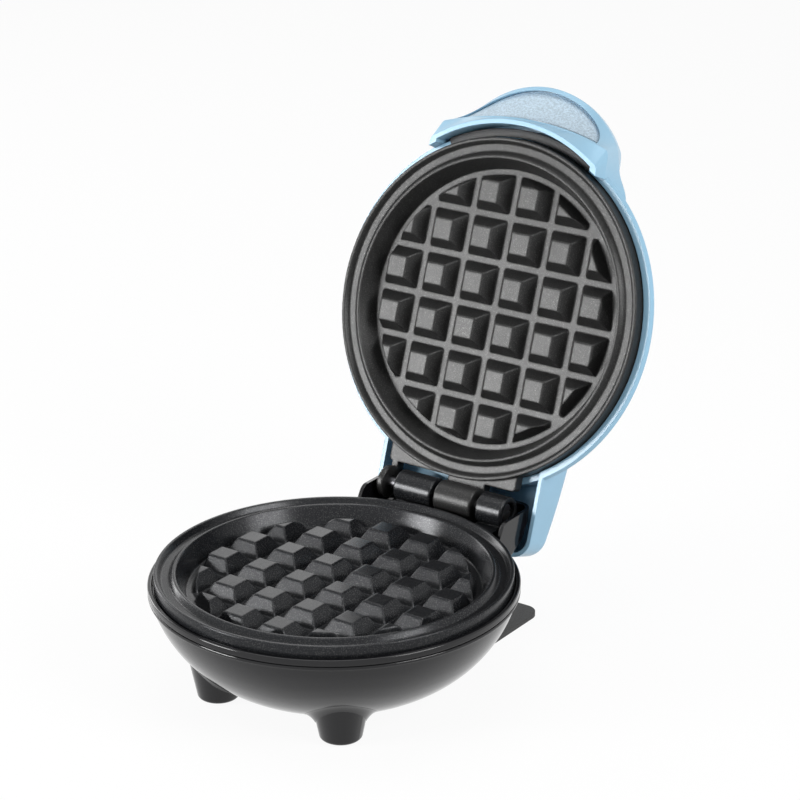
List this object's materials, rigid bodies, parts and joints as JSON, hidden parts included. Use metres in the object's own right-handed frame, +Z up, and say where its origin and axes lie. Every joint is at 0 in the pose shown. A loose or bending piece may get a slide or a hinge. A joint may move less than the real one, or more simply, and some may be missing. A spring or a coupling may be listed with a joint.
{
  "type": "waffle_maker",
  "caption": "Mini waffle maker with its lid open: sky blue domed lid with an arched handle, round non-stick waffle plates, gloss black bowl base",
  "frame": {"origin": "on the worktop under the middle of the lower cooking plate, on the underside of the stand plate", "axes": "+X along the hinge to the right seen from the front, +Y to the back, +Z up"},
  "size_m": [0.1258, 0.1945, 0.1767],
  "materials": {
    "blue_plastic": "gloss",
    "grip_plastic": "fine texture",
    "black_plastic": "gloss",
    "liner_plastic": "matte",
    "stand_plastic": "matte",
    "nonstick": "satin non-stick coating",
    "bright_steel": "bright",
    "dark_steel": "satin",
    "pad_rubber": "matte",
    "reflector_tin": "bright",
    "tag_brass": "plain",
    "lens_glass": "clear red",
    "white_plastic": "matte"
  },
  "bodies": {
    "base": {"base_shell": "black_plastic", "base_ring": "black_plastic", "foot_pads": "pad_rubber", "stand_plate": "stand_plastic", "stand_screws": "dark_steel", "lower_plate": "nonstick", "lower_plate_screws": "bright_steel", "lower_element": "dark_steel", "lower_clamps": "bright_steel", "lower_clamp_screws": "bright_steel", "lower_reflector": "reflector_tin", "thermostat": "liner_plastic", "under_plate_screws": "bright_steel", "thermal_fuse": "white_plastic", "fuse_strap": "bright_steel", "terminal_block": "white_plastic", "terminal_screws": "bright_steel", "earth_tag": "tag_brass", "earth_screw": "bright_steel", "cord_inlet": "pad_rubber", "hinge_pin": "dark_steel"},
    "lid": {"lid_shell": "blue_plastic", "grip_panel": "grip_plastic", "lid_liner": "liner_plastic", "liner_screws": "bright_steel", "upper_plate": "nonstick", "upper_plate_screws": "bright_steel", "upper_element": "dark_steel", "upper_clamps": "bright_steel", "upper_clamp_screws": "bright_steel", "upper_reflector": "reflector_tin", "lamp_lens": "lens_glass", "lamp": "white_plastic", "lamp_holder": "white_plastic"}
  },
  "joints": [
    {"name": "lid_hinge", "type": "hinge", "parent": "base", "child": "lid", "pos_m": [0, 0.067, 0.0435], "axis": [1, 0, 0], "range_deg": [0, 108.8]}
  ]
}
